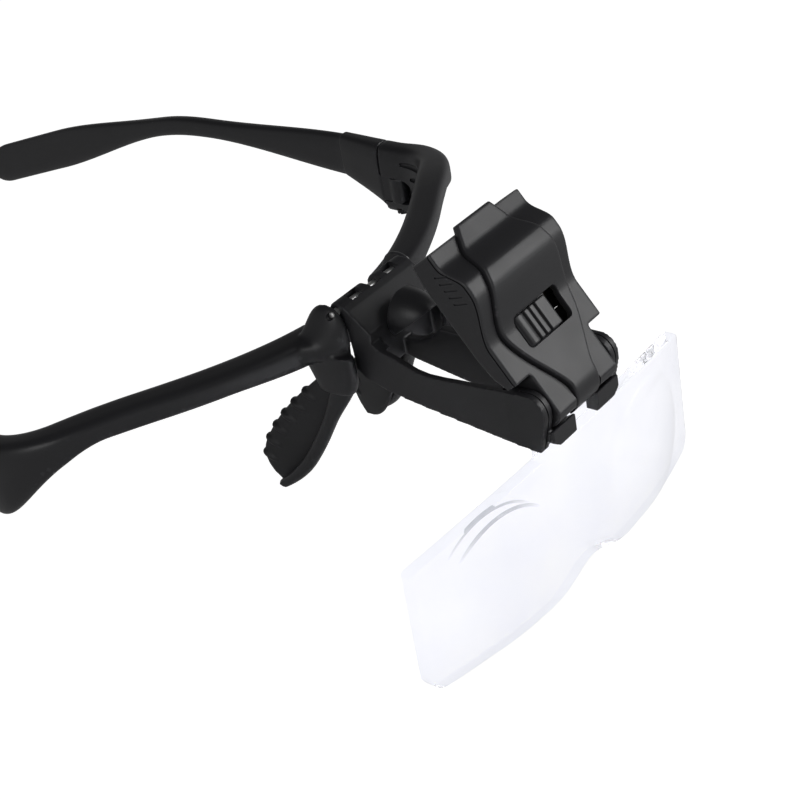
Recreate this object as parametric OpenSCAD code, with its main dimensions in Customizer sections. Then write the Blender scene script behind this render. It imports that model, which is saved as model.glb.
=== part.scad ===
// Eyeglass-style lighted magnifier: a spectacle frame that carries a tilting lens bracket,
// a tilting lamp and one removable twin-lobed lens.
// X runs across the face (+X is the wearer's left), the lens is on the -Y side, +Z is up.
// The origin lies at the middle of the bridge.

/* [Frame bar] */
// Half of the bar's plain curved span, from the middle to where the bar turns back
bar_half_span = 61.5; // [58:0.5:66]
// Set-back of the bar's centre line behind the origin at the bridge
bar_set = 3.1; // [2:0.1:4]
// Depth scale of the hyperbola that the bar follows in plan
bar_wrap = 92; // [80:1:100]
// Width scale of that hyperbola
bar_run = 76; // [70:1:84]
// Radius of the turn from the bar into its hinge end
bar_turn_r = 18.5; // [16:0.5:22]
// Thickness of the bar at the middle of its span
bar_t = 7.2; // [6:0.1:8]
// Thickness of the bar at its hinge end
end_t = 6.2; // [5.5:0.1:6.8]
// Height of the bar's top over the origin, away from the bridge
bar_top = -2.4; // [-4:0.1:-1]
// Height of the bar's bottom, away from the bridge
bar_bottom = -7.6; // [-9:0.1:-6.5]
// Drop of the bar's bottom edge at the hinge end
end_drop = 15.5; // [12:0.1:17]
// Drop of the bar's top edge at the hinge end
end_top_drop = 2.8; // [1:0.1:4]

/* [Bridge] */
// Half of the gap between the two shoulders
shoulder_x = 11.25; // [10.5:0.05:12]
// Half height of the shoulder's bulge
shoulder_h = 7; // [6.9:0.1:8]
// Length of the shoulder's bulge along the bar
shoulder_l = 9; // [7:0.5:11]
// Set-back of the bracket's hinge axis behind the origin
tilt_y = -2; // [-2.4:0.1:-1.6]
// Height of the bracket's hinge axis
tilt_z = 2.5; // [2.2:0.1:2.7]
// Radius of the bracket's hinge pin
tilt_pin_r = 0.8; // [0.7:0.05:0.9]
// Half length of that pin
tilt_pin_half = 12.6; // [12.2:0.1:12.7]
// Radius of the knuckles round that pin
knuckle_r = 1.9; // [1.7:0.05:2]
// Distance of a knuckle's middle from the bracket's middle
knuckle_x = 5.65; // [5.4:0.05:5.8]
// Length of a knuckle
knuckle_l = 8; // [7:0.1:8.2]
// Length of the window through which the pin shows
window_l = 3.8; // [3:0.1:4.6]

/* [Nose pads] */
// Length of a pad
pad_l = 31; // [26:0.5:34]
// Width of a pad
pad_w = 14; // [10:0.5:15]
// Thickness of a pad's rim
pad_t = 2.6; // [2:0.1:3.5]
// Number of ribs across a pad
pad_ribs = 6; // [4:1:8]

/* [Bracket] */
// Half width of the bracket at its root
root_half_w = 11; // [10.5:0.1:11.1]
// Half width of the bracket at its tips
tip_half_w = 13; // [12:0.1:14]
// Thickness of an arm
arm_t = 2.8; // [2.2:0.1:3.2]
// Distance of the tips' front face ahead of the origin
tip_reach = 52.6; // [50:0.1:55]
// Level of the tips' underside
tip_bottom = -17.6; // [-18.5:0.1:-16.8]
// Half of the gap between the two tips' blocks
tip_gap_half = 4.4; // [3:0.1:5]

/* [Lamp] */
// Distance of the lamp's pivot ahead of the origin
lamp_y = -49.3; // [-50:0.1:-48]
// Level of the lamp's pivot
lamp_z = -8.3; // [-9:0.1:-7.5]
// Lean of the lamp, back from upright
lamp_lean = 37; // [30:1:42]
// Half width of the lamp's body
lamp_half_w = 14.5; // [13.5:0.1:15.5]
// Half width of the lamp's foot between the tips
foot_half_w = 9.9; // [9:0.1:9.95]
// Height from the pivot to the lamp's top
lamp_top = 35.8; // [34:0.1:38]
// Height from the pivot to where the body narrows to the foot
lamp_step = 6.3; // [5.5:0.1:7.5]
// Depth of the body's front face at its lower half
lamp_front = 4; // [3.5:0.1:4.6]
// Depth of the body's front face at the battery bulge
bulge_front = 9.1; // [8:0.1:10]
// Depth of the body's front face at the top
crown_front = 5.7; // [5:0.1:6.5]
// Thickness of the lamp's walls
lamp_wall = 1.4; // [1.2:0.1:1.6]
// How far the cover stands over the body's front face
cover_t = 1.2; // [0.8:0.1:1.6]
// Diameter of a coin cell
cell_d = 20; // [16:0.5:20]
// Thickness of a coin cell
cell_t = 1.6; // [1.2:0.1:2]
// Diameter of an LED
led_d = 3; // [2.5:0.1:3.2]

/* [Switch] */
// Length of the opening for the switch knob
slot_l = 14; // [12:0.1:15]
// Height of that opening
slot_h = 7.2; // [6.5:0.1:8]
// Height of the opening's middle over the lamp's pivot
slot_u = 13.4; // [12.8:0.1:14]
// Length of the knob
knob_l = 9.6; // [8:0.1:10]
// Travel of the knob
knob_travel = 3.4; // [2.5:0.1:3.6]

/* [Lens] */
// Width of the lens between its end edges
lens_w = 94; // [90:1:98]
// Radius of the lens's wrap round the face
lens_wrap_r = 167; // [150:1:200]
// Thickness of the lens blank
lens_t = 3; // [2.4:0.1:3.6]
// Distance of the lens's middle ahead of the origin
lens_y = 49; // [48.6:0.1:49.4]
// Level of the lens's top edge at the middle
lens_top = -19.2; // [-21:0.1:-18.8]
// Level of the lens's lowest points
lens_bottom = -53.9; // [-57:0.1:-52]
// Depth of the notch between the two lobes
lens_notch = 4; // [2:0.1:6]
// Half width of the tab that enters the bracket's tips
tab_half_w = 12; // [10.5:0.1:12.2]
// Thickness of the tab
tab_t = 2.4; // [2:0.1:2.6]
// Depth that the tab enters the tips
tab_in = 3.2; // [2.5:0.1:3.4]

/* [Temples] */
// Place of the fold hinge behind the origin
fold_y = 46.4; // [46:0.1:47]
// Inset of the fold hinge's axis from the middle of the bar's end, towards the head
fold_inset = 1.7; // [1.6:0.05:1.9]
// Radius of the fold hinge's screw
fold_pin_r = 1; // [0.8:0.05:1.05]
// Radius of the eye round that screw
fold_eye_r = 2.3; // [2.2:0.05:2.4]
// Height of the hinge tongue
tongue_h = 6.6; // [5.5:0.1:7]
// Place of the seam between the hinge block and the temple
plug_seam_y = 64.4; // [62:0.1:67]
// Place of the temple's end behind the origin
temple_end_y = 206; // [196:1:214]
// Height of the temple at its front
temple_front_h = 11.2; // [10:0.1:12]
// Height of the temple at its waist
temple_waist_h = 5.1; // [4.5:0.1:7]
// Height of the temple at its end
temple_end_h = 11.6; // [10:0.1:13]
// Thickness of the temple
temple_t = 3.6; // [3:0.1:4]
// Depth of the temple's plug in the hinge block
plug_l = 9.6; // [8:0.1:10]

/* [Fits] */
// Radial clearance of a shaft that turns
run_fit = 0.05; // [0.03:0.01:0.08]
// Clearance on each side of a piece that slides
slide_fit = 0.12; // [0.08:0.01:0.2]
// Gap between faces that move past each other
face_gap = 0.25; // [0.2:0.01:0.3]

/* [Hidden] */
$fn = 48;

black = [0.13, 0.13, 0.15];

// Smooth step from 0 to 1 as t passes from 0 to 1
function ease(t) = let(c = min(max(t, 0), 1)) c * c * (3 - 2 * c);

// Points of a rounded section about the middle of a box, in its own u and v
function section(lo_u, hi_u, lo_v, hi_v, square = 3.2, n = 20) =
    [for (i = [0:n - 1]) let(a = 360 * (i + 0.5) / n, c = cos(a), s = sin(a))
        [(lo_u + hi_u) / 2 + (hi_u - lo_u) / 2 * sign(c) * pow(abs(c), 2 / square),
         (lo_v + hi_v) / 2 + (hi_v - lo_v) / 2 * sign(s) * pow(abs(s), 2 / square)]];

// Solid skin through a list of rings with the same number of points
function middle(ring) = [for (k = [0:2]) [for (p = ring) p[k]] * [for (p = ring) 1]] / len(ring);
module skin(raw) {
    n = len(raw[0]);
    m = len(raw);
    c = middle(raw[0]);
    turns_on = cross(raw[0][0] - c, raw[0][floor(n / 4)] - c) * (middle(raw[1]) - c) > 0;
    rings = turns_on ? raw : [for (r = raw) [for (i = [n - 1:-1:0]) r[i]]];
    polyhedron(points = [for (r = rings) each r],
        faces = concat([[for (i = [0:n - 1]) i]],
            [for (j = [0:m - 2]) for (i = [0:n - 1])
                let(a = j * n + i, b = j * n + (i + 1) % n)
                each [[b, a, a + n], [b, a + n, b + n]]],
            [[for (i = [n - 1:-1:0]) (m - 1) * n + i]]));
}

module both_sides() {
    children();
    mirror([1, 0, 0]) children();
}

// The bar's centre line: hyperbola in plan, then a turn, then straight back
turn_start = atan(bar_wrap * bar_half_span / pow(bar_run, 2)
    / sqrt(1 + pow(bar_half_span / bar_run, 2)));
function bar_y(x) = bar_set + bar_wrap * (sqrt(1 + pow(x / bar_run, 2)) - 1);
function bar_heading(x) = atan(bar_wrap * x / pow(bar_run, 2) / sqrt(1 + pow(x / bar_run, 2)));
end_x = bar_half_span + bar_turn_r * (1 - sin(turn_start));
turn_end_y = bar_y(bar_half_span) + bar_turn_r * cos(turn_start);
fold_x = end_x - fold_inset;
seam_y = fold_y + 4.3;

// Level of the bar's edges along its run, given the centre line's y and x
function bar_lo(y, x) = bar_bottom - end_drop * ease((y - 24) / 20)
    - 1.4 * (1 - ease((x - 12) / 22));
function bar_hi(y) = bar_top - end_top_drop * ease((y - 20) / 25);
// The bar's faces ahead of and behind the centre line; the turn is fuller outside
function bar_ahead(y) = 2.6 + 1.2 * (ease((y - 18) / 12) - ease((y - 39) / 8));
function bar_behind(y) = bar_t - 2.6 - (bar_t - end_t) * ease((y - 15) / 20);

// One ring of the bar at a station [x, y, heading]
function bar_ring(st) = let(h = st[2], y = st[1])
    [for (p = section(-bar_ahead(y), bar_behind(y), bar_lo(y, st[0]), bar_hi(y), 3.8))
        [st[0] - sin(h) * p[0], y + cos(h) * p[0], p[1]]];
bar_stations = concat(
    [for (x = [shoulder_x:1.675:bar_half_span]) [x, bar_y(x), bar_heading(x)]],
    [for (a = [turn_start:5:89.9])
        [bar_half_span + bar_turn_r * (sin(a) - sin(turn_start)),
         bar_y(bar_half_span) + bar_turn_r * (cos(turn_start) - cos(a)), a]],
    [[end_x, turn_end_y + 0.5, 90], [end_x, seam_y - 0.3, 90]]);

tongue_z = -16.5;
slot_gap = tongue_h + 2 * slide_fit;

// Path of a nose strut, from the bar down to the pad's foot
pad_top_p = [12.6, 2.6, -13.4];
pad_dir = [4, 14, -27] / norm([4, 14, -27]);
pad_across = [0.2, 0.87, 0.45] / norm([0.2, 0.87, 0.45]);
pad_normal = cross(pad_across, pad_dir);

// A point of the pad's plane: l along it, w across it, h out of it
function pad_point(l, w, h) = pad_top_p + pad_dir * l + pad_across * w + pad_normal * h;

module nose_strut() {
    // Neck under the shoulder
    skin([for (t = [0:0.125:1])
        let(c = [13.4 - 0.6 * t, 2.2 - 0.8 * t * t, -6 - 9.5 * t], hw = 5.4 - 2 * t)
        [for (p = section(-2, 2, -hw, hw, 2.6, 16)) c + [p[0], p[1], 0]]]);
    // Rail along the pad's front edge, which ends in the pad's foot
    skin([for (t = [0:0.0625:1])
        let(l = -1 + (pad_l - 2) * t, w = -pad_w * 0.30 * sin(180 * min(t * 0.62 + 0.19, 1)),
            hw = 3.2 - 1.2 * ease((t - 0.7) / 0.3))
        [for (p = section(w - hw + 1.1, w + hw, -1.7, 1.5, 2.6, 16)) pad_point(l, p[0], p[1])]]);
}

// Bulge that holds one end of the bracket's pin and fades into the bar
module shoulder() {
    skin([for (t = [0:0.125:1])
        let(x = shoulder_x + shoulder_l * t, e = ease(t),
            q = ease(min(max(2 * t - 0.16, 0), 1)),
            y = (1 - e) * -0.1 + e * (bar_y(x) + 0.8), hy = 4.8 - 1.8 * e,
            z = -2.9 - 2.2 * q, hz = shoulder_h - (shoulder_h - 2.4) * q)
        [for (p = section(y - hy, y + hy, z - hz, z + hz, 2.3)) [x, p[0], p[1]]]]);
}

module brow_bar_half() {
    difference() {
        union() {
            skin([for (s = bar_stations) bar_ring(s)]);
            shoulder();
        }
        // Bore for the bracket's hinge pin
        translate([-1, tilt_y, tilt_z]) rotate([0, 90, 0]) cylinder(r = tilt_pin_r, h = tilt_pin_half + 1);
        // Gap for the temple's hinge tongue, open to the inner side and to the rear
        translate([fold_x - 8, fold_y - fold_eye_r - 0.4, tongue_z - slot_gap / 2])
            cube([8 + fold_eye_r + face_gap, 12, slot_gap]);
        // Rounded recess ahead of the tongue, on the inner side
        translate([fold_x - 8, fold_y - 1.5, tongue_z]) rotate([0, 90, 0]) scale([1, 1.35, 1])
            cylinder(r = slot_gap / 2, h = 8.6);
        // Rounded inner corner, past which the hinge block folds
        difference() {
            translate([fold_x - 8, fold_y, -30]) cube([8, 8, 30]);
            translate([fold_x, fold_y, -31]) cylinder(r = seam_y - fold_y - 0.12, h = 32);
        }
        // Bore for the fold hinge's screw, from below
        translate([fold_x, fold_y, -28]) cylinder(r = fold_pin_r, h = 21);
        translate([fold_x, fold_y, -28]) cylinder(r = 1.6, h = 28 - 21.6);
    }
}

module brow_bar() {
    color(black) {
        both_sides() brow_bar_half();
        // Low cross bar behind the bracket
        skin([for (i = [-8:8]) let(x = i * 1.5)
            [for (p = section(1.6, 7.4, -9.6, -2.6, 3.4, 16)) [x, p[0] - 0.004 * (144 - x * x), p[1]]]]);
        both_sides() nose_strut();
    }
}

// Soft pad: a paddle on the strut's inner and back side, with ribs
module nose_pad() {
    skin([for (t = [0:0.05:1])
        let(s = 2 * t - 1, w = pad_w / 2 * pow(max(1 - pow(abs(s), 2.6), 0.02), 0.5))
        [for (p = section(-w * 0.9, w, 1.55, 1.6 + pad_t * (0.75 + 0.25 * cos(90 * s)), 2.6, 16))
            pad_point(2.2 + (pad_l - 1) * t, p[0] + 1.5, p[1])]]);
    // Raised ribs that show at the back edge
    for (i = [0:pad_ribs - 1])
        let(t = 0.17 + 0.66 * i / (pad_ribs - 1), s = 2 * t - 1,
            w = pad_w / 2 * pow(1 - pow(abs(s), 2.6), 0.5))
        skin([for (e = [0:1]) [for (p = section(-w * 0.4, w + 0.5, 1.2, 1.9 + pad_t, 2.4, 12))
            pad_point(2.2 + (pad_l - 1) * t + (e - 0.5) * 1.4, p[0] + 1.5, p[1])]]);
}
module nose_pad_right() { color([0.16, 0.16, 0.17]) mirror([1, 0, 0]) nose_pad(); }
module nose_pad_left() { color([0.16, 0.16, 0.17]) nose_pad(); }

module tilt_pin() {
    color("silver") translate([-tilt_pin_half, tilt_y, tilt_z]) rotate([0, 90, 0])
        cylinder(r = tilt_pin_r, h = 2 * tilt_pin_half);
}

// Screws of the two fold hinges, heads below
module fold_screws() {
    color("silver") both_sides() translate([fold_x, fold_y, 0]) difference() {
        union() {
            translate([0, 0, -22.6]) cylinder(r = fold_pin_r, h = 15);
            translate([0, 0, -23]) cylinder(r = 1.5, h = 1.2);
        }
        translate([-2.5, -0.2, -24]) cube([5, 0.4, 1.5]);
    }
}

// The bracket
tip_rear = tip_reach - 7.2;
slot_w = tab_t + 2 * slide_fit;
tab_top = tip_bottom + tab_in;
block_top = lamp_z - 4.8;

// Side outline of an arm, as [y, z]
module arm_outline() {
    polygon(concat(
        [[-4.6, -10.2], [-tip_reach + 1.6, tip_bottom + 0.5]],
        [for (a = [200:-10:80]) [lamp_y + 0.2 + 3.9 * cos(a), lamp_z + 4.3 * sin(a)]],
        [[-43.3, -4.4], [-36, -5.3], [-28, -5.6], [-21, -5], [-15.5, -4.6], [-11.6, -4.2],
         [-10, -3.2], [-10, -1], [-5, -0.7]]));
}

module lens_bracket() {
    color(black) difference() {
        union() {
            both_sides() {
                // Arm, which spreads from the root to the tip
                intersection() {
                    rotate([90, 0, 90]) linear_extrude(tip_half_w) arm_outline();
                    translate([0, 0, -30]) linear_extrude(60) polygon([
                        [root_half_w, -1], [root_half_w, -9], [tip_half_w, -44],
                        [tip_half_w, -tip_reach + 1.2], [tip_half_w - 1.2, -tip_reach - 3],
                        [tip_half_w - arm_t, -tip_reach - 3], [tip_half_w - arm_t, -42],
                        [root_half_w - arm_t, -11], [root_half_w - arm_t, -1]]);
                }
                // Block at the tip that takes the lens's tab
                translate([0, 0, 0]) rotate([90, 0, 90]) translate([0, 0, tip_gap_half])
                    linear_extrude(tip_half_w - arm_t - tip_gap_half + 0.5) polygon([
                        [-tip_rear, block_top], [-tip_rear, tip_bottom + 0.6],
                        [-tip_reach + 1.4, tip_bottom], [-tip_reach, tip_bottom + 1.6],
                        [-tip_reach - 0.3, block_top - 1], [-tip_reach + 0.8, block_top]]);
                // Knuckle on the hinge pin
                translate([knuckle_x - knuckle_l / 2, tilt_y, tilt_z]) rotate([0, 90, 0])
                    cylinder(r = knuckle_r, h = knuckle_l);
            }
            // Cross wall with a sloping top
            rotate([90, 0, 90]) translate([0, 0, -root_half_w]) linear_extrude(2 * root_half_w)
                polygon([[-4.6, -10.2], [-10, -10.9], [-10, -1], [-5.2, 3.2], [-3.9, 4.1],
                    [-2.6, 4.2], [-2.6, 1], [-4.2, -1.5]]);
        }
        translate([-20, tilt_y, tilt_z]) rotate([0, 90, 0]) cylinder(r = tilt_pin_r + run_fit, h = 40);
        // Windows over the pin, and the gaps beside the knuckles
        both_sides() translate([knuckle_x - window_l / 2, tilt_y - 1.9, tilt_z - 0.1])
            cube([window_l, 2.7, 4]);
        translate([-(knuckle_x - knuckle_l / 2), -4.1, -2]) cube([2 * (knuckle_x - knuckle_l / 2), 6, 8]);
        both_sides() translate([knuckle_x + knuckle_l / 2, -4.1, -2]) cube([3, 6, 8]);
        // Hollow of the cross wall below and between the arms
        translate([-root_half_w + arm_t, -10.6, -12]) cube([2 * (root_half_w - arm_t), 2.2, 5]);
        // Slot for the lens's tab
        translate([-tab_half_w - slide_fit, -lens_y - slot_w / 2, tip_bottom - 1])
            cube([2 * (tab_half_w + slide_fit), slot_w, tab_in + 1.1]);
        // Blind bores for the lamp's pivot pins
        translate([-12.3, lamp_y, lamp_z]) rotate([0, 90, 0]) cylinder(r = 1.1 + run_fit, h = 24.6);
        // Holes for the screws in the arms' tops
        both_sides() translate([arm_screw_x, -43.6, -8]) cylinder(r = 0.7, h = 8);
        // Seat of the dome's spigot
        translate([0, -12, -1.4]) rotate([-90, 0, 0]) cylinder(r = 2, h = 6);
    }
}
arm_screw_x = tip_half_w - arm_t / 2 - 0.1;

// Rounded cap ahead of the cross wall, over the hinge
module bracket_dome() {
    color(black) translate([0, -10.02, -1.4]) rotate([90, 0, 0]) union() {
        rotate_extrude() polygon(concat([[0, 0]], [for (a = [0:7.5:90]) [5.4 * cos(a), 9 * sin(a)]]));
        translate([0, 0, -3.9]) cylinder(r = 2, h = 4.5);
    }
}

module bracket_screws() {
    color([0.2, 0.2, 0.2]) both_sides() translate([arm_screw_x, -43.6, 0]) difference() {
        translate([0, 0, -7.9]) cylinder(r = 0.7, h = 3);
        translate([-1, -0.15, -5.3]) cube([2, 0.3, 1]);
    }
}

// The lamp, built upright about its pivot: x across, -y to the front, z up
module lamp_place() {
    translate([0, lamp_y, lamp_z]) rotate([-lamp_lean, 0, 0]) children();
}
function front_at(u) = u < 26.5
    ? lamp_front + (bulge_front - lamp_front) * ease((u - 14) / 11.5)
    : bulge_front - (bulge_front - crown_front) * ease((u - 27) / 6);
// Half width of the raised cover at height u
function cover_half(u) = u > 33 ? 8.4 - 2.6 * pow((u - 33) / 4.4, 3)
    : u > 16 ? 11.2 - 2.8 * ease((u - 16) / 17)
    : u > 1 ? 5.2 + 6 * ease((u - 1) / 14) : 5.2;

// Heights at which the front face has its points, the same ones in the shell and the cover
function front_steps(u0, u1, step = 0.8) =
    concat([u0], [for (i = [ceil((u0 + 0.1) / step):floor((u1 - 0.1) / step)]) i * step], [u1]);
// Points of the front face moved out by off, from the top down
function front_line(off, u0, u1) = let(s = front_steps(u0, u1), n = len(s) - 1)
    [for (i = [n:-1:0]) [-front_at(s[i]) - off, s[i]]];
// Region between the front face moved out by lo_off and by hi_off, between two heights
module front_band(lo_off, hi_off, u0, u1) {
    polygon(concat(front_line(lo_off, u0, u1),
        [for (s = front_steps(u0, u1)) [-front_at(s) - hi_off, s]]));
}
module across(half_w) {
    rotate([90, 0, 90]) translate([0, 0, -half_w]) linear_extrude(2 * half_w) children();
}
module cover_outline(inset = 0, u0 = -3.6, u1 = 37) {
    n = 28;
    polygon(concat(
        [for (i = [0:n]) let(u = u0 + (u1 - u0) * i / n) [cover_half(u) - inset, u]],
        [for (i = [n:-1:0]) let(u = u0 + (u1 - u0) * i / n) [-cover_half(u) + inset, u]]));
}

shell_rear = 1.1;
door_half_w = 10.6;
door_u0 = 12.4;
lamp_screw_x = 2.8;
lamp_screw_u = 4.6;

module lamp_shell() {
    color(black) lamp_place() difference() {
        union() {
            // Body
            across(lamp_half_w) polygon(concat(
                [[-1, lamp_step], [0.5, 9.4], [shell_rear, 14], [shell_rear, 30], [0.2, lamp_top]],
                front_line(0, lamp_step, lamp_top)));
            // Foot between the tips
            across(foot_half_w) union() {
                circle(r = lamp_front);
                polygon([[4, 0], [3.2, 5.5], [0.5, 10], [-lamp_front, 10], [-lamp_front, -2.6],
                    [-2.6, -3.9], [0, -4]]);
            }
        }
        // Room for the cells
        translate([0, 0, 0]) intersection() {
            across(lamp_half_w - lamp_wall) polygon(concat(
                [[-0.3, 9], [-0.3, lamp_top - lamp_wall]],
                front_line(0.1 - lamp_wall, 9, lamp_top - lamp_wall)));
        }
        // Room for the board and the LEDs
        translate([-foot_half_w + lamp_wall, -lamp_front + 0.6, -2.8])
            cube([2 * (foot_half_w - lamp_wall), lamp_front - 0.9, 14.2]);
        // Mouth under the cover
        intersection() {
            rotate([90, 0, 0]) linear_extrude(20) cover_outline(1.6, -1.5, lamp_top - 2.2);
            translate([-20, -20, -2]) cube([40, 19.2, 36]);
        }
        // Opening of the LED window
        translate([-7.1, -3.7, -5]) cube([14.2, 3.2, 3]);
        // Track of the battery door, open at the top
        translate([-door_half_w, -0.4, door_u0]) cube([2 * door_half_w, 3, 30]);
        translate([-door_half_w - 0.8, -0.05, door_u0]) cube([2 * door_half_w + 1.6, 0.7, 30]);
        // Screw holes from the back
        both_sides() translate([lamp_screw_x, 5, lamp_screw_u]) rotate([90, 0, 0]) {
            cylinder(r = 0.85, h = 8);
            cylinder(r = 1.7, h = 3.4);
        }
        // Pivot pin seats
        translate([-12, 0, 0]) rotate([0, 90, 0]) cylinder(r = 1.1, h = 24);
        // Grip ribs on the sides
        both_sides() for (i = [0:4])
            translate([lamp_half_w - 0.4, -4.6 + i * 0.15, 24.4 + i * 1.6]) cube([1, 3.6, 0.6]);
    }
}

module lamp_cover() {
    color(black) lamp_place() difference() {
        union() {
            intersection() {
                across(15) front_band(0.03, cover_t, -3.6, 37);
                rotate([90, 0, 0]) linear_extrude(20) cover_outline();
            }
            // Screw posts
            both_sides() translate([lamp_screw_x, -1.9, lamp_screw_u]) rotate([90, 0, 0])
                cylinder(r = 1.4, h = 2.4);
            // Lip that locates the cover in the shell's mouth
            intersection() {
                across(15) front_band(-0.9, 0.3, 17.5, 33);
                rotate([90, 0, 0]) linear_extrude(20) difference() {
                    cover_outline(1.75, 17.5, 33);
                    cover_outline(2.6, 18.3, 32.2);
                }
            }
        }
        // Opening of the switch
        translate([-slot_l / 2, -12, slot_u - slot_h / 2]) cube([slot_l, 12, slot_h]);
        both_sides() translate([lamp_screw_x, 0, lamp_screw_u]) rotate([90, 0, 0])
            cylinder(r = 0.65, h = 4.8);
    }
}

module lamp_pivot_pins() {
    color("silver") lamp_place() both_sides()
        translate([foot_half_w - 2.6, 0, 0]) rotate([0, 90, 0]) cylinder(r = 1.1, h = 4.8);
}

board_y = -0.6;
module led_board() {
    color([0.1, 0.35, 0.15]) lamp_place() difference() {
        translate([-7, board_y - 0.8, 0.9]) cube([14, 0.8, 10.3]);
        both_sides() translate([lamp_screw_x, 0, lamp_screw_u]) rotate([90, 0, 0])
            cylinder(r = 0.9, h = 2);
    }
}

module leds() {
    color([0.95, 0.95, 0.85]) lamp_place() both_sides() translate([4.2, board_y - 1.45, 0]) {
        translate([0, 0, -1.4]) sphere(r = led_d / 2 - 0.2);
        translate([0, 0, -1.4]) cylinder(r = led_d / 2 - 0.2, h = 2.2);
        translate([-1.2, -1, 0.8]) cube([2.4, 1.62, 1.2]);
    }
}

module led_window() {
    color([0.8, 0.9, 1, 0.5]) lamp_place()
        translate([-7.1, -3.7, -4.15]) cube([14.2, 3.2, 1.2]);
}

module switch_body() {
    color([0.6, 0.6, 0.62]) lamp_place() difference() {
        translate([-4.4, board_y - 2.6, slot_u - 4.2]) cube([8.8, 1.8, 4]);
        // Slot of the slider that the knob moves
        translate([knob_x - 0.9, board_y - 4, slot_u - 2.9]) cube([1.8 + knob_travel, 2.2, 1.8]);
    }
}

knob_x = -slot_l / 2 + 0.35 + knob_l / 2;
module switch_knob() {
    color(black) lamp_place() translate([knob_x, 0, slot_u]) difference() {
        union() {
            translate([-knob_l / 2, -5.6, -slot_h / 2 + 0.3]) cube([knob_l, 1.25, slot_h - 0.6]);
            // Foot that holds the knob behind the cover
            translate([-knob_l / 2, -4.4, -slot_h / 2 + 0.3]) cube([knob_l, 1.05, 3.6]);
            translate([-knob_l / 2, -3.93, -slot_h / 2 - 0.7]) cube([knob_l, 0.58, 2]);
            // Peg in the slider's slot
            translate([-0.7, -3.5, -2.7]) cube([1.4, 1, 1.4]);
        }
        for (i = [-1:1]) translate([i * 1.5 - 0.3, -6, -4]) cube([0.6, 0.9, 8]);
    }
}

cell_u = 24.2;
module coin_cells() {
    color("silver") lamp_place() for (i = [0:1])
        translate([0, -0.75 - i * (cell_t + 0.02), cell_u]) rotate([90, 0, 0])
            cylinder(r = cell_d / 2 - 0.3, h = cell_t);
}

module cell_spring() {
    color("silver") lamp_place() translate([6.25, 0, 0]) across(0.65) polygon([[-1.42, 9.6],
        [-1.42, 11], [-3.2, 14.9], [-4, 16.1], [-4, 22], [-4.21, 22], [-4.21, 16.04],
        [-3.4, 14.8], [-1.64, 10.96], [-1.64, 9.6]]);
}

module cell_plate() {
    color("silver") lamp_place() translate([-3, -0.72, 18]) cube([6, 0.25, 12]);
}

module lamp_screws() {
    color("silver") lamp_place() both_sides()
        translate([lamp_screw_x, 0, lamp_screw_u]) rotate([90, 0, 0])
        difference() {
            union() {
                translate([0, 0, -2.4]) cylinder(r = 0.64, h = 6.8);
                translate([0, 0, -2.5]) cylinder(r = 1.5, h = 0.9);
            }
            translate([-2, -0.2, -3]) cube([4, 0.4, 0.9]);
        }
}

module battery_door() {
    color(black) lamp_place() union() {
        translate([-door_half_w + slide_fit, -0.3, door_u0 + slide_fit])
            cube([2 * (door_half_w - slide_fit), shell_rear + 0.3, lamp_top - door_u0 - 0.4]);
        translate([-door_half_w - 0.7, 0.05, door_u0 + slide_fit])
            cube([2 * door_half_w + 1.4, 0.5, lamp_top - door_u0 - 0.4]);
        for (i = [0:2])
            translate([-4, shell_rear - 0.1, 28 + i * 1.6]) cube([8, 0.5, 0.7]);
    }
}

// The lens: twin lobes, wrapped round the face, with a tab in the middle
module lens_outline() {
    half = lens_w / 2;
    top_end = lens_top - 5.6;
    polygon(concat(
        [for (x = [-half + 2:2:half - 2]) [x, lens_top - 5.6 * pow(abs(x) / half, 2)]],
        [[half - 1.2, top_end - 0.4]],
        [[half - 0.4, top_end - 11], [half, top_end - 20]],
        [for (a = [0:-15:-75]) [half - 4 + 4 * cos(a), lens_bottom + 4 + 4.4 * sin(a)]],
        [for (x = [42:-2:-42]) [x, lens_bottom + lens_notch * exp(-pow(x / 8, 2))]],
        [for (a = [-105:-15:-180]) [-half + 4 + 4 * cos(a), lens_bottom + 4 + 4.4 * sin(a)]],
        [[-half, top_end - 20], [-half + 0.4, top_end - 11]],
        [[-half + 1.2, top_end - 0.4]]));
}

module lens() {
    color([0.85, 0.87, 0.98, 0.4]) {
        intersection() {
            translate([0, lens_wrap_r - lens_y, -70]) difference() {
                cylinder(r = lens_wrap_r + lens_t / 2, h = 60, $fn = 180);
                translate([0, 0, -1]) cylinder(r = lens_wrap_r - lens_t / 2, h = 62, $fn = 180);
            }
            translate([0, -20, 0]) rotate([90, 0, 0]) linear_extrude(60) lens_outline();
        }
        translate([-tab_half_w, -lens_y - tab_t / 2, lens_top - 2])
            cube([2 * tab_half_w, tab_t, tab_top - 0.15 - lens_top + 2]);
    }
}

// Hinge blocks and temples, drawn on the +X side
temple_z = -11.4;
function temple_mid(y) = temple_z - 0.33 * ((y - 125) + sqrt(pow(y - 125, 2) + 144)) / 2;
function temple_high(y) = temple_waist_h
    + (temple_front_h - temple_waist_h) * (1 - ease((y - 60) / 52))
    + (temple_end_h - temple_waist_h) * ease((y - 130) / 44);
function temple_x(y) = end_x + 0.9 + 0.02 * (y - plug_seam_y) - 0.0003 * pow(y - plug_seam_y, 2);

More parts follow.
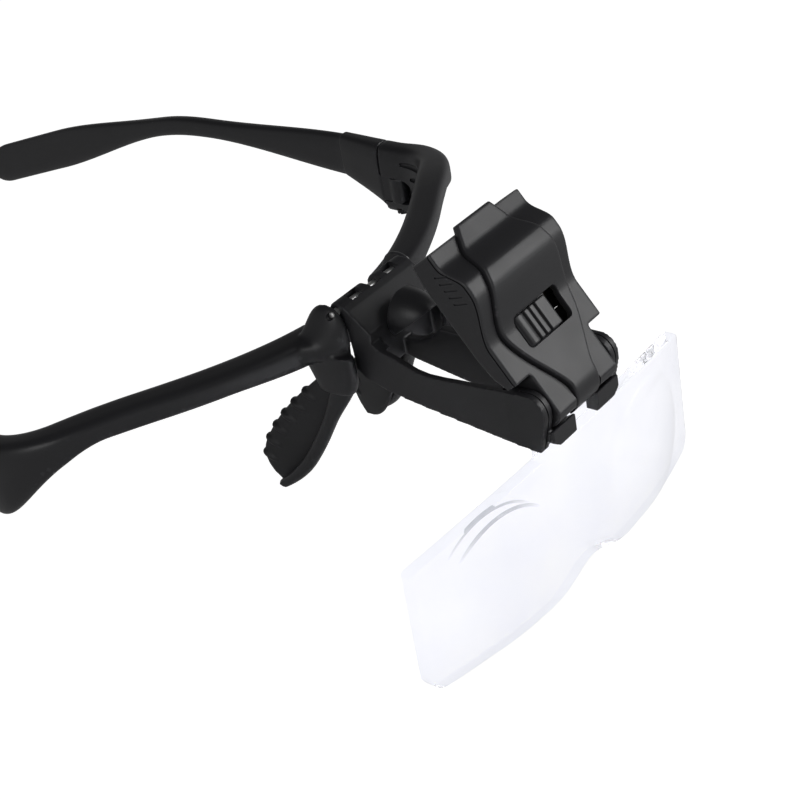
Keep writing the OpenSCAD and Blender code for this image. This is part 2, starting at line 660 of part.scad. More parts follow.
module hinge_block() {
    difference() {
        union() {
            // Body, which tapers from the hinge to the temple
            skin([for (t = [0:0.2:1])
                let(y = seam_y + (plug_seam_y - seam_y) * t, x = end_x - 0.5 + 1.4 * t,
                    hw = end_t / 2 - (end_t - temple_t - 0.8) / 2 * t,
                    top = bar_top - end_top_drop - 0.5 * t, bot = -22.2 + 5.2 * pow(t, 0.8))
                [for (p = section(x - hw, x + hw, bot, top, 3.6, 20)) [p[0], y, p[1]]]]);
            // Tongue with a round eye
            translate([fold_x, fold_y, tongue_z - tongue_h / 2]) cylinder(r = fold_eye_r, h = tongue_h);
            translate([fold_x - 1.6, fold_y, tongue_z - tongue_h / 2]) cube([3.8, 5, tongue_h]);
        }
        translate([fold_x, fold_y, -30]) cylinder(r = fold_pin_r + run_fit, h = 30);
        // Socket for the temple's plug
        translate([plug_x - plug_t / 2 - slide_fit, plug_seam_y - plug_l - 0.2, temple_z - plug_h / 2 - slide_fit])
            cube([plug_t + 2 * slide_fit, plug_l + 2, plug_h + 2 * slide_fit]);
    }
}
plug_t = 2;
plug_h = 6;
plug_x = end_x + 0.9;

module temple() {
    n = 56;
    skin([for (i = [0:n])
        let(y = plug_seam_y + face_gap + (temple_end_y - plug_seam_y - face_gap) * i / n,
            end = sqrt(max(1 - pow(max(y - temple_end_y + 8, 0) / 8, 2), 0.03)),
            h = temple_high(y) / 2 * end, w = temple_t / 2 * (0.75 + 0.25 * end))
        [for (p = section(-w, w, -h, h, 2.8, 16)) [temple_x(y) + p[0], y, temple_mid(y) + p[1]]]]);
    translate([plug_x - plug_t / 2, plug_seam_y - plug_l, temple_z - plug_h / 2])
        cube([plug_t, plug_l + 2, plug_h]);
}

module hinge_block_left() { color(black) hinge_block(); }
module hinge_block_right() { color(black) mirror([1, 0, 0]) hinge_block(); }
module temple_left() { color(black) temple(); }
module temple_right() { color(black) mirror([1, 0, 0]) temple(); }

brow_bar();
nose_pad_right();
nose_pad_left();
tilt_pin();
fold_screws();
lens_bracket();
bracket_dome();
bracket_screws();
lamp_shell();
lamp_cover();
lamp_pivot_pins();
led_board();
leds();
led_window();
switch_body();
coin_cells();
cell_spring();
cell_plate();
lamp_screws();
battery_door();
switch_knob();
lens();
hinge_block_right();
hinge_block_left();
temple_right();
temple_left();
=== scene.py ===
import math

import bmesh
import bpy
from mathutils import Matrix, Vector


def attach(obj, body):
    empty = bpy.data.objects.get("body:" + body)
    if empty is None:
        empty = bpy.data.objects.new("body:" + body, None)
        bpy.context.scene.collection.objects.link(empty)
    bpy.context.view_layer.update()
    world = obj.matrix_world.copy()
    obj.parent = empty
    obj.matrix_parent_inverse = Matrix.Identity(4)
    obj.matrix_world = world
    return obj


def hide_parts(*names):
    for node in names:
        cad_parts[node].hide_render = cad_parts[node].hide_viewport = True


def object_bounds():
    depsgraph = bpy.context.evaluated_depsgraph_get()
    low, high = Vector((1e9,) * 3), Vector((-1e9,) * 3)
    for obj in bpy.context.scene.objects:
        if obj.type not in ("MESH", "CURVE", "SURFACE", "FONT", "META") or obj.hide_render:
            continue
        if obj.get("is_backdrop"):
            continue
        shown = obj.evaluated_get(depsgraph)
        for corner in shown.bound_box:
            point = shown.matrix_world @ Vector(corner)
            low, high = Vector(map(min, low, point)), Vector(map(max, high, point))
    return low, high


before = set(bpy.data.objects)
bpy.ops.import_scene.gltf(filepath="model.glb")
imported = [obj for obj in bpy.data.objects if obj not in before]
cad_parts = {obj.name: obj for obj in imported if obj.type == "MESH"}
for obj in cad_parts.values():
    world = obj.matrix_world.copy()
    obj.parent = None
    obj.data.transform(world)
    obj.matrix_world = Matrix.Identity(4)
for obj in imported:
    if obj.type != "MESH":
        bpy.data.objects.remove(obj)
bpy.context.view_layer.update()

# Frame front. One injection moulding in satin black nylon: a bar follows the brow, swells into
# two shoulders that hold the bracket's pin, turns back into the hinge ends, and drops two
# struts for the nose pads. Sizes here and below are in millimetres.


def ease(t):
    """Smooth step from 0 to 1."""
    t = min(max(t, 0.0), 1.0)
    return t * t * (3 - 2 * t)


def add_skin(bm, stations, corners=32, square=3.2):
    """Closed skin: a rounded ring extruded from station to station. A station is its centre,
    its half width vector and its half height vector."""
    ring = bmesh.ops.create_circle(bm, segments=corners, radius=1)["verts"]
    bmesh.ops.rotate(bm, verts=ring, matrix=Matrix.Rotation(math.pi / corners, 3, "Z"))
    for v in ring:
        v.co.x = math.copysign(abs(v.co.x) ** (2 / square), v.co.x)
        v.co.y = math.copysign(abs(v.co.y) ** (2 / square), v.co.y)
    edges = list({e for v in ring for e in v.link_edges})
    first, last = edges, Matrix()
    for i, (centre, side, up) in enumerate(stations):
        side, up = Vector(side), Vector(up)
        place = Matrix.Translation(centre) @ Matrix(
            (side, up, side.cross(up).normalized())).transposed().to_4x4()
        if i:
            made = bmesh.ops.extrude_edge_only(bm, edges=edges)["geom"]
            ring = [g for g in made if isinstance(g, bmesh.types.BMVert)]
            edges = [g for g in made if isinstance(g, bmesh.types.BMEdge) and g.is_boundary]
        bmesh.ops.transform(bm, matrix=place @ last.inverted(), verts=ring)
        last = place
    bmesh.ops.contextual_create(bm, geom=first)
    bmesh.ops.contextual_create(bm, geom=edges)


def add_block(bm, low, high, edge=0.0):
    """Rectangular block between two corners, with its edges rounded if edge is given."""
    low, high = Vector(low), Vector(high)
    made = bmesh.ops.create_cube(bm, size=1)["verts"]
    bmesh.ops.scale(bm, vec=high - low, verts=made)
    bmesh.ops.translate(bm, vec=(low + high) / 2, verts=made)
    if edge:
        bmesh.ops.bevel(bm, geom=list({e for v in made for e in v.link_edges}), offset=edge,
                        segments=3, profile=0.5, affect="EDGES", material=-1)


def add_rod(bm, start, end, radius, end_radius=None, segments=40):
    """Round rod between two points."""
    start, end = Vector(start), Vector(end)
    made = bmesh.ops.create_cone(bm, cap_ends=True, segments=segments, radius1=radius,
                                 radius2=radius if end_radius is None else end_radius,
                                 depth=(end - start).length)["verts"]
    turn = (end - start).to_track_quat("Z", "Y").to_matrix().to_4x4()
    bmesh.ops.transform(bm, matrix=Matrix.Translation((start + end) / 2) @ turn, verts=made)


def add_plate(bm, outline, push, edge=0.0, steps=3):
    """Plate: an outline filled and extruded along push, with its two rims rounded."""
    base = [bm.verts.new(p) for p in outline]
    loop = [bm.edges.new(pair) for pair in zip(base, base[1:] + base[:1])]
    face = bmesh.ops.contextual_create(bm, geom=loop)["faces"]
    made = bmesh.ops.extrude_face_region(bm, geom=face)["geom"]
    bmesh.ops.translate(bm, vec=push, verts=[g for g in made if isinstance(g, bmesh.types.BMVert)])
    if edge:
        far = [g for g in made if isinstance(g, bmesh.types.BMFace)]
        rims = list({e for f in far + face if f.is_valid for e in f.edges}
                    | {e for v in base for e in v.link_edges
                       if e.other_vert(v) in base})
        bmesh.ops.bevel(bm, geom=rims, offset=edge, segments=steps, profile=0.5,
                        affect="EDGES", material=-1)


def solid(bm, name):
    """Object in metres from a bmesh in millimetres, with its faces turned outwards."""
    bmesh.ops.remove_doubles(bm, verts=bm.verts, dist=1e-4)
    bmesh.ops.recalc_face_normals(bm, faces=bm.faces)
    bmesh.ops.scale(bm, vec=(0.001, 0.001, 0.001), verts=bm.verts)
    mesh = bpy.data.meshes.new(name)
    bm.to_mesh(mesh)
    bm.free()
    obj = bpy.data.objects.new(name, mesh)
    bpy.context.scene.collection.objects.link(obj)
    return obj


def apply_modifiers(obj):
    """Makes what the modifiers give the piece's own mesh."""
    bpy.context.view_layer.update()
    shaped = obj.evaluated_get(bpy.context.evaluated_depsgraph_get())
    mesh = bpy.data.meshes.new_from_object(shaped)
    obj.modifiers.clear()
    obj.data = mesh


def cut(obj, cutter):
    """Takes the cutter's space out of the piece."""
    tool = solid(cutter, obj.name + "_cut")
    change = obj.modifiers.new("cut", "BOOLEAN")
    change.operation, change.object = "DIFFERENCE", tool
    change.solver, change.use_self = "EXACT", True
    apply_modifiers(obj)
    bpy.data.objects.remove(tool)


def mould(obj, cell=0.3, rounds=3):
    """Fuses the piece's overlapping forms into one skin and softens its edges."""
    fused = obj.modifiers.new("fuse", "REMESH")
    fused.mode, fused.voxel_size = "VOXEL", cell / 1000
    soft = obj.modifiers.new("soften", "SMOOTH")
    soft.factor, soft.iterations = 0.5, rounds
    apply_modifiers(obj)


def finish(obj, material, body, slot, *replaced):
    """Shading, material and the frame's bookkeeping of a piece."""
    for face in obj.data.polygons:
        face.use_smooth = True
    obj.data.set_sharp_from_angle(angle=math.radians(38))
    obj.data.materials.clear()
    obj.data.materials.append(material)
    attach(obj, body)
    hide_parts(*replaced)


def all_of(bm):
    """All points, edges and faces, as the operators that cut or copy take them."""
    return bm.verts[:] + bm.edges[:] + bm.faces[:]


def mirror_x(bm):
    """Adds the other side's like."""
    bmesh.ops.mirror(bm, geom=all_of(bm), axis="X", merge_dist=-1)


def new_material(name):
    """Material with its node tree and its shader."""
    material = bpy.data.materials.new(name)
    material.use_nodes = True
    return material, material.node_tree, material.node_tree.nodes["Principled BSDF"]


def add_node(tree, kind, values=(), sources=(), **settings):
    """Shader node with its settings, its sockets' values and the outputs that feed them."""
    node = tree.nodes.new("ShaderNode" + kind)
    for key, value in settings.items():
        setattr(node, key, value)
    for socket, value in dict(values).items():
        node.inputs[socket].default_value = value
    feed(tree, node, sources)
    return node


def feed(tree, node, sources):
    """Links outputs to a node's sockets."""
    for socket, source in dict(sources).items():
        tree.links.new(source, node.inputs[socket])


def moulded_plastic(name, colour, edge_wear_and_sheen, rough, grain=0.22, depth=0.012):
    """Spark-eroded plastic: fine grain, faint flow clouds, edges lighter from wear and painted
    sheen.
    """
    material, tree, shader = new_material(name)
    place = {"Vector": add_node(tree, "TexCoord").outputs["Object"]}
    clouds = add_node(tree, "TexNoise", {"Scale": 110, "Detail": 4}, place).outputs["Fac"]
    grains = add_node(tree, "TexNoise", {"Scale": 1000 / grain, "Detail": 2}, place)
    sink = add_node(tree, "TexNoise", {"Scale": 160, "Detail": 1}, place)
    edges = add_node(tree, "MapRange", {"From Min": 0.5, "From Max": 0.6},
                     {"Value": add_node(tree, "NewGeometry").outputs["Pointiness"]})
    tint = add_node(tree, "Mix", {"A": (*colour, 1), "B": (*[1.35 * c for c in colour], 1)},
                    {"Factor": clouds}, data_type="RGBA")
    # Painted highlight and wear: convex edges, found by pointiness, take the lighter edge colour,
    # which stands for both handling wear and an edge sheen.
    wear_and_sheen_mix = add_node(tree, "Mix", {"B": (*edge_wear_and_sheen, 1)},
                    {"Factor": edges.outputs["Result"], "A": tint.outputs["Result"]},
                    data_type="RGBA")
    gloss = add_node(tree, "MapRange", {"To Min": rough + 0.07, "To Max": rough - 0.07},
                     {"Value": clouds})
    waves = add_node(tree, "Bump", {"Strength": 0.25, "Distance": 0.0001},
                     {"Height": sink.outputs["Fac"]})
    pits = add_node(tree, "Bump", {"Strength": 0.35, "Distance": depth / 1000},
                    {"Height": grains.outputs["Fac"], "Normal": waves.outputs["Normal"]})
    feed(tree, shader, {"Base Color": wear_and_sheen_mix.outputs["Result"],
                        "Roughness": gloss.outputs["Result"], "Normal": pits.outputs["Normal"]})
    return material


satin_nylon = moulded_plastic("satin_nylon", (0.0125, 0.0125, 0.0145), (0.03, 0.03, 0.034), 0.40)
sweep, sweep_x = 92, 76
turn_x, turn_r = 61.5, 18.5
shoulder_x, pin_y, pin_z = 11.25, -2, 2.5
bar_behind = 4.6


def bar_line(x):
    """The bar's centre line ahead of the turn, and its heading."""
    root = math.sqrt(1 + (x / sweep_x) ** 2)
    return 3.1 + sweep * (root - 1), math.atan(sweep * x / sweep_x ** 2 / root)


def bar_station(x, y, heading):
    """The bar's section at a point of its line: it grows deep and thin behind the turn."""
    low = -7.6 - 15.5 * ease((y - 24) / 20) - 1.4 * (1 - ease((x - 12) / 22))
    high = -2.4 - 2.8 * ease((y - 20) / 25)
    ahead = 2.57 + 1.2 * (ease((y - 18) / 12) - ease((y - 39) / 8))
    behind = bar_behind - ease((y - 15) / 20)
    out = Vector((-math.sin(heading), math.cos(heading), 0))
    return (Vector((x, y, (low + high) / 2)) + out * (behind - ahead) / 2,
            out * (behind + ahead) / 2, (0, 0, (high - low) / 2))


turn_y, turn_from = bar_line(turn_x)
end_x = turn_x + turn_r * (1 - math.sin(turn_from))
path = []
for i in range(46):
    x = shoulder_x + (turn_x - shoulder_x) * i / 45
    path.append((x, *bar_line(x)))
for i in range(1, 17):
    a = turn_from + (math.pi / 2 - turn_from) * i / 16
    path.append((turn_x + turn_r * (math.sin(a) - math.sin(turn_from)),
                 turn_y + turn_r * (math.cos(turn_from) - math.cos(a)), a))
seam_y = 50.7
behind_turn = path[-1][1]
for i in range(1, 9):
    path.append((end_x, behind_turn + (seam_y - 0.3 - behind_turn) * i / 8, math.pi / 2))

bar = bmesh.new()
add_skin(bar, [bar_station(*p) for p in path], corners=56, square=3.8)
shoulder = []
for i in range(17):
    t = i / 16
    x, e, q = shoulder_x + 9 * t, ease(t), ease(2 * t - 0.16)
    shoulder.append(((x, -0.1 * (1 - e) + e * (bar_line(x)[0] + 0.8), -2.9 - 2.2 * q),
                     (0, 4.8 - 1.8 * e, 0), (0, 0, 7 - 4.6 * q)))
add_skin(bar, shoulder, corners=48, square=2.3)

# The neck and the rail that carries a pad, in the pad's own directions.
pad_top = Vector((12.6, 2.6, -13.4))
pad_along = Vector((4, 14, -27)).normalized()
pad_across = Vector((0.2, 0.87, 0.45)).normalized()
pad_out = pad_across.cross(pad_along)


def pad_point(along, across, out):
    """Point measured from the top of the left pad."""
    return pad_top + pad_along * along + pad_across * across + pad_out * out


add_skin(bar, [((13.4 - 0.6 * t, 0.7 - 1.75 * t + t ** 4, -6 - 9.5 * t), (2, 0, 0),
                (0, 7.1 - 1.75 * t - t ** 4, 0)) for t in [i / 12 for i in range(13)]],
         square=2.6)
rail = []
for i in range(33):
    t = i / 32
    half = 2.5 - ease(t / 0.35) - 0.3 * ease((t - 0.8) / 0.2)
    rail.append((pad_point(-1 + 33.5 * t, -4 + 4.4 * t ** 5, -0.1), pad_across * half,
                 pad_out * 1.6))
add_skin(bar, rail, square=2.6)
mirror_x(bar)
add_skin(bar, [((x, 4.5 - 0.004 * (144 - x * x), -6.1), (0, 2.9, 0), (0, 0, 3.5))
               for x in [-12 + 24 * i / 30 for i in range(31)]], square=3.4)
front = solid(bar, "frame_front")
mould(front, 0.34, 5)

# Bore of the bracket's pin, and at each end the hinge's gap, its rounded recess, the rounded
# inner corner, the screw's bore and two grip grooves.
fold_x, fold_y, tongue_z, gap = end_x - 1.7, 46.4, -16.5, 6.84
bores = bmesh.new()
add_rod(bores, (fold_x, fold_y, -28), (fold_x, fold_y, -7), 1)
add_rod(bores, (fold_x, fold_y, -28), (fold_x, fold_y, -21.6), 1.6)
add_block(bores, (fold_x - 8, fold_y - 2.7, tongue_z - gap / 2),
          (fold_x + 2.55, fold_y + 9.3, tongue_z + gap / 2))
add_skin(bores, [((fold_x - 8 + 8.6 * i / 2, fold_y - 1.5, tongue_z), (0, 4.62, 0),
                  (0, 0, gap / 2)) for i in range(3)], corners=40, square=2.3)
corner = [(fold_x - 8, fold_y + 0.01), (fold_x - 4.18, fold_y + 0.01)]
corner += [(fold_x - 4.18 * math.cos(a), fold_y + 4.18 * math.sin(a))
           for a in [math.pi / 2 * i / 12 for i in range(1, 13)]]
corner += [(fold_x, fold_y + 8), (fold_x - 8, fold_y + 8)]
add_plate(bores, [(x, y, -30) for x, y in corner], (0, 0, 30))


def inner_face(y):
    """Point of the bar's inner face round the turn, in plan."""
    for (x0, y0, h0), (x1, y1, h1) in zip(path, path[1:]):
        b0, b1 = [bar_behind - ease((c - 15) / 20) for c in (y0, y1)]
        p0 = Vector((x0 - math.sin(h0) * b0, y0 + math.cos(h0) * b0, 0))
        p1 = Vector((x1 - math.sin(h1) * b1, y1 + math.cos(h1) * b1, 0))
        if p0.y <= y <= p1.y:
            return p0.lerp(p1, (y - p0.y) / (p1.y - p0.y)), (h0 + h1) / 2
    return p1, h1


for y0, y1, z0, z1, fat in ((33.2, 43.6, -7.6, -8.9, 0.75), (36.0, 40.6, -11.2, -12.2, 0.6)):
    groove = []
    for i in range(13):
        t = i / 12
        at, heading = inner_face(y0 + (y1 - y0) * t)
        swell = math.sqrt(math.sin(math.pi * (0.02 + 0.9 * t) ** 0.7))
        along = Vector((math.cos(heading), math.sin(heading), 0))
        groove.append((at + Vector((0, 0, z0 + (z1 - z0) * t)),
                       Vector((-along.y, along.x, 0)) * (0.15 + 0.75 * swell),
                       (0, 0, 0.12 + fat * swell)))
    add_skin(bores, groove, corners=20, square=2)
mirror_x(bores)
add_rod(bores, (-13.6, pin_y, pin_z), (13.6, pin_y, pin_z), 0.82)
cut(front, bores)
finish(front, satin_nylon, "frame", "black_plastic", "brow_bar")

# Nose pads. Soft black elastomer overmoulded on the strut's foot: a paddle with a raised rim
# and ribs across it that show along the back edge.
soft_rubber = moulded_plastic("soft_rubber", (0.014, 0.014, 0.016), (0.02, 0.02, 0.022), 0.56,
                              grain=0.16, depth=0.01)
pad_start, pad_length, pad_foot = 2.2, 31.5, 1.55


def pad_edges(t):
    """Front and rear edge of a pad at t along it, rounded in at both ends."""
    low = 1 - 5.6 * math.sqrt(max(1 - abs(2 * t - 1) ** 2.6, 0.02))
    high = 2 + 6.2 * math.sin(math.pi / 2 * min(t / 0.78, 1))
    return low, high * math.sqrt(max(1 - (max(t - 0.75, 0) / 0.25) ** 2.4, 0.02))


for side, name in ((1, "left"), (-1, "right")):
    pad = bmesh.new()
    body = []
    for i in range(33):
        t = i / 32
        low, high = pad_edges(t)
        top = 1.6 + 2.6 * (0.75 + 0.25 * math.cos(math.pi / 2 * (2 * t - 1)))
        body.append((pad_point(pad_start + pad_length * t, (low + high) / 2,
                               (pad_foot + top) / 2),
                     pad_across * (high - low) / 2, pad_out * (top - pad_foot) / 2))
    add_skin(pad, body, corners=40, square=2.6)
    for i in range(6):
        t = 0.2 + 0.66 * i / 5
        rib = []
        for k, full in ((-1, 0.8), (-0.45, 1), (0.45, 1), (1, 0.8)):
            rib.append((pad_point(pad_start + pad_length * t + 0.7 * k,
                                  pad_edges(t)[1] - 2, 2.85),
                        pad_across * 2.5 * full, pad_out * 1.65 * full))
        add_skin(pad, rib, corners=28, square=2.4)
    bmesh.ops.scale(pad, vec=(side, 1, 1), verts=pad.verts)
    cushion = solid(pad, "nose_pad_" + name + "_rubber")
    mould(cushion, 0.24, 3)
    finish(cushion, soft_rubber, "frame", "soft_black", "nose_pad_" + name)


# Steel parts. The bracket's pin is a drawn rod with rounded ends, pressed through the
# shoulders; the screws of the fold hinges and the bracket are blackened ones, and stay as the
# model has them.
def drawn_metal(name, colour, rough, scratch, stretch=(1, 1, 1)):
    """Metal with fine drawn scratches and a slightly uneven polish."""
    material, tree, shader = new_material(name)
    shader.inputs["Metallic"].default_value = 1
    place = add_node(tree, "Mapping", {"Scale": stretch},
                     {"Vector": add_node(tree, "TexCoord").outputs["Object"]}).outputs["Vector"]
    lines = add_node(tree, "TexNoise", {"Scale": 3500}, {"Vector": place}).outputs["Fac"]
    stain = add_node(tree, "TexNoise", {"Scale": 420}, {"Vector": place}).outputs["Fac"]
    tint = add_node(tree, "Mix", {"A": (*colour, 1), "B": (*[0.72 * c for c in colour], 1)},
                    {"Factor": stain}, data_type="RGBA")
    gloss = add_node(tree, "MapRange", {"To Min": rough - 0.06, "To Max": rough + 0.1},
                     {"Value": lines})
    marks = add_node(tree, "Bump", {"Strength": scratch, "Distance": 0.00002},
                     {"Height": lines})
    feed(tree, shader, {"Base Color": tint.outputs["Result"],
                        "Roughness": gloss.outputs["Result"], "Normal": marks.outputs["Normal"]})
    return material


def dress(node, material):
    """Gives a node of the model its finish."""
    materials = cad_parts[node].data.materials
    materials.clear()
    materials.append(material)


bright_steel = drawn_metal("bright_steel", (0.9, 0.9, 0.89), 0.34, 0.25, (0.1, 1, 1))
plated_steel = drawn_metal("plated_steel", (0.62, 0.61, 0.58), 0.3, 0.3)
black_screw = drawn_metal("black_oxide", (0.05, 0.05, 0.052), 0.4, 0.3)
pin = bmesh.new()
add_skin(pin, [((x, pin_y, pin_z), (0, r, 0), (0, 0, r)) for x, r in (
    (-12.6, 0.5), (-12.5, 0.66), (-12.3, 0.8), (-4, 0.8), (4, 0.8), (12.3, 0.8), (12.5, 0.66),
    (12.6, 0.5))], corners=40, square=2)
finish(solid(pin, "hinge_pin"), bright_steel, "frame", "steel", "tilt_pin")
dress("fold_screws", black_screw)
dress("bracket_screws", black_screw)

# Bracket. A stiff black nylon moulding that tilts on the pin: two arms spread from a cross wall
# with two knuckles to tips that hold the lamp between them and take the lens's tab from below.
# The lamp's foot and the cover's tongue turn in the tips, so these are hollowed round the pivot.
pivot_y, pivot_z, tip_y, tongue_r = -49.3, -8.3, -49.1, 5.2


def arc_line(y, z, half_y, half_z, angles):
    """Points (y, z) of an arc, at angles in degrees."""
    return [(y + half_y * math.cos(math.radians(a)), z + half_z * math.sin(math.radians(a)))
            for a in angles]


def spread_out(verts):
    """Sets an arm's form beside the middle, the wider apart the nearer it is to the tip."""
    for v in verts:
        v.co.x += 11 + 2 * min(max((-9 - v.co.y) / 35, 0), 1)


def slice_off(bm, point, out):
    """Takes away what lies outside a plane, and closes the cut."""
    bmesh.ops.bisect_plane(bm, geom=all_of(bm), plane_co=point, plane_no=out, clear_outer=True)
    bmesh.ops.contextual_create(bm, geom=[e for e in bm.edges if e.is_boundary])


arm_profile = [(-4.6, -10.2), (-7, -12.2), (-12, -13.6), (-20, -14.4), (-36, -15.5), (-44, -16),
               (-51, -16.6)]
arm_profile += arc_line(tip_y, pivot_z, 3.9, 4.3, range(200, 79, -8))
arm_profile += [(-46, -4.2), (-44, -4.33), (-40, -4.9), (-36, -5.4), (-32, -5.85), (-28, -6.4),
                (-24, -6.75), (-21, -6.5), (-15.5, -5), (-11.6, -4.2), (-10, -3.2), (-9, -0.95),
                (-5, -0.7)]
arms = bmesh.new()
add_plate(arms, [(-2.8, y, z) for y, z in arm_profile], (2.8, 0, 0))
for y in (-9, -44):
    bmesh.ops.bisect_plane(arms, geom=all_of(arms), plane_co=(0, y, 0), plane_no=(0, 1, 0))
spread_out(arms.verts)
block = [(-45.4, -12.4), (-45.4, -15.9), (-46.2, -16.5), (-52.6, -16.6), (-53.3, -16),
         (-53.3, -12.2)]
block += arc_line(pivot_y, pivot_z, tongue_r, tongue_r, range(225, 310, 7))
tip_block = bmesh.new()
add_plate(tip_block, [(3.9, y, z) for y, z in block], (7.5, 0, 0))
slice_off(tip_block, (9, 0, -16.4), (0.59, 0, -0.81))
block_mesh = bpy.data.meshes.new("tip_block")
tip_block.to_mesh(block_mesh)
tip_block.free()
arms.from_mesh(block_mesh)
add_rod(arms, (1.65, pin_y, pin_z), (10.65, pin_y, pin_z), 1.9)
mirror_x(arms)
web = [(-5.6, -7.2), (-5.6, -10), (-12, -11.7), (-24.3, -13.8), (-40, -15.6), (-41.5, -9),
       (-33, -3.6), (-28, -2.7), (-19.8, -2.8), (-17.4, -5.3), (-14, -6.8), (-11, -7.3)]
add_plate(arms, [(-1.2, y, z) for y, z in web], (2.4, 0, 0), edge=0.3, steps=2)
wall = [(-4.6, -10.2), (-10, -10.9), (-10, -1), (-5.2, 3.2), (-3.9, 4.1), (-2.6, 4.2), (-2.6, 1),
        (-4.2, -1.5)]
add_plate(arms, [(-11, y, z) for y, z in wall], (22, 0, 0), edge=0.3, steps=2)
bracket = solid(arms, "bracket_moulding")
mould(bracket, 0.26, 2)
# Gaps beside the knuckles, the screws' holes and the thinned inner side of the arms.
hollows = bmesh.new()
add_block(hollows, (3.75, -3.9, 2.4), (7.55, -1.2, 6.5))
add_block(hollows, (10.65, -4.1, -2), (13.65, 1.9, 6))
add_rod(hollows, (11.5, -43.6, -8), (11.5, -43.6, 0), 0.7)
known = set(hollows.verts)
add_block(hollows, (-4, -42, -20), (-1.3, -12.5, 0), edge=0.5)
spread_out(set(hollows.verts) - known)
# Seam round the tip's side plate, and then the pin's bore, the slot for the lens's tab, the
# bore of the lamp's pivot pins and the dome's hole.
seam = [(-53.5, -18)] + arc_line(tip_y, pivot_z, 5.5, 5.5, range(196, 59, -8))
seam += arc_line(tip_y, pivot_z, 3.45, 3.8, range(60, 197, 8)) + [(-50.3, -18)]
add_plate(hollows, [(11.5, y, z) for y, z in seam], (0.32, 0, 0))
mirror_x(hollows)
add_rod(hollows, (-20, pin_y, pin_z), (20, pin_y, pin_z), 0.85)
add_block(hollows, (-1.65, -4.1, -2), (1.65, 1.9, 6))
add_block(hollows, (-12.12, -50.32, -19.5), (12.12, -47.68, -14.3))
add_rod(hollows, (-12.3, pivot_y, pivot_z), (12.3, pivot_y, pivot_z), 1.15)
add_rod(hollows, (0, -12, -1.4), (0, -6, -1.4), 2)
cut(bracket, hollows)
bracket_nylon = moulded_plastic("bracket_nylon", (0.0135, 0.0135, 0.0155),
                                (0.032, 0.032, 0.036), 0.42)
finish(bracket, bracket_nylon, "bracket", "black_plastic", "lens_bracket")

# Dome. A rounded nylon cap, moulded on its own and pressed with a short stem into the cross
# wall, over the hinge's stop. Its underside is cut off at a slant to clear the web.
dome = bmesh.new()
dome_z = -1.4
bmesh.ops.create_uvsphere(dome, u_segments=56, v_segments=40, radius=1)
bmesh.ops.scale(dome, vec=(5.4, 9, 5.4), verts=dome.verts)
slice_off(dome, (0, 0, 0), (0, 1, 0))
bmesh.ops.translate(dome, vec=(0, -10.02, dome_z), verts=dome.verts)
slice_off(dome, (0, -7.4, -7.2), (0, -0.6145, -0.7889))
add_rod(dome, (0, -10.6, dome_z), (0, -6.2, dome_z), 1.98)
cap = solid(dome, "bracket_cap")
mould(cap, 0.2, 3)
finish(cap, satin_nylon, "bracket", "black_plastic", "bracket_dome")

# Lamp case. A hollow moulding in black plastic: a body with a battery bulge, a foot between the
# bracket's tips, and a thin front flange with a shadow line. The lamp's pieces are drawn upright
# about their pivot, with u as the height over it, and then leant back.
lamp_turn = Matrix.Translation((0, pivot_y, pivot_z)) @ Matrix.Rotation(
    math.radians(-37), 4, "X")
case_half, case_low, case_high = 14.5, 6.3, 35.8
foot_half, foot_r, proud = 9.9, 4, 1.2


def lean_back(obj):
    """Turns a piece of the lamp from upright to its place."""
    obj.data.transform(Matrix.Scale(0.001, 4) @ lamp_turn @ Matrix.Scale(1000, 4))


def tongue_round(u):
    """Depth at u of the round, tongue_r in radius, that the cover's tongue makes at the foot."""
    return math.sqrt(max(27.04 - u * u, 0))


def lamp_front(u):
    """Depth of the case's front face at height u over the pivot, round under the foot."""
    if u < 0:
        return tongue_round(u) - proud
    if u < 26.5:
        return 4 + 5.1 * ease((u - 14) / 11.5)
    return 9.1 - 3.4 * ease((u - 27) / 6)


def front_line(off, low, high, count=60):
    """The front face's line from low to high, moved ahead by off."""
    return [(-lamp_front(low + (high - low) * i / count) - off, low + (high - low) * i / count)
            for i in range(count + 1)]


def lamp_plate(bm, profile, low_x, high_x, **rim):
    """Plate across the lamp, from one x to another."""
    add_plate(bm, [(low_x, y, z) for y, z in profile], (high_x - low_x, 0, 0), **rim)


def cover_half(u):
    """Half the cover's width at u: widest at 17, and drawn in to the tongue and to the top."""
    if u > 17:
        return 10.9 - 3.7 * ((u - 17) / 16) ** 1.8
    return 3.9 + 7 * ease((max(u + 0.6, 0) / 17.6) ** 0.78)


def add_cover(bm, grow, back, rise, low=-tongue_r, high=37.2, round_off=0.0):
    """Shield that follows the case's front: a grid laid on it and extruded back. It is wider by
    grow all round, reaches from back behind that front to rise ahead of it, and round_off is how
    far its rim falls off."""
    made = bmesh.ops.create_grid(bm, x_segments=44, y_segments=100, size=1)["verts"]
    faces = list({f for v in made for f in v.link_faces})
    place = {}
    for v in made:
        s, t = math.sin(v.co.x * math.pi / 2), (v.co.y + 1) / 2
        u = low - grow + (high - low + 2 * grow) * (0.5 - 0.5 * math.cos(t * math.pi))
        half = cover_half(u) + grow
        rim = min((1 - abs(s)) * half, u - low + grow, high + grow - u)
        near = min(max(1 - rim / 0.6, 0), 1)
        fall = round_off * (1 - math.sqrt(1 - near * near))
        place[v] = (s * half, -lamp_front(u) - rise + fall, u)
    for v, co in place.items():
        v.co = co
    made = bmesh.ops.extrude_face_region(bm, geom=faces)["geom"]
    for v in made:
        if isinstance(v, bmesh.types.BMVert):
            v.co.y = -lamp_front(v.co.z) + back
            if v.co.z < 0:
                inner = (foot_r - back) / tongue_r
                v.co.y = -tongue_round(v.co.z) * inner
                v.co.z *= inner


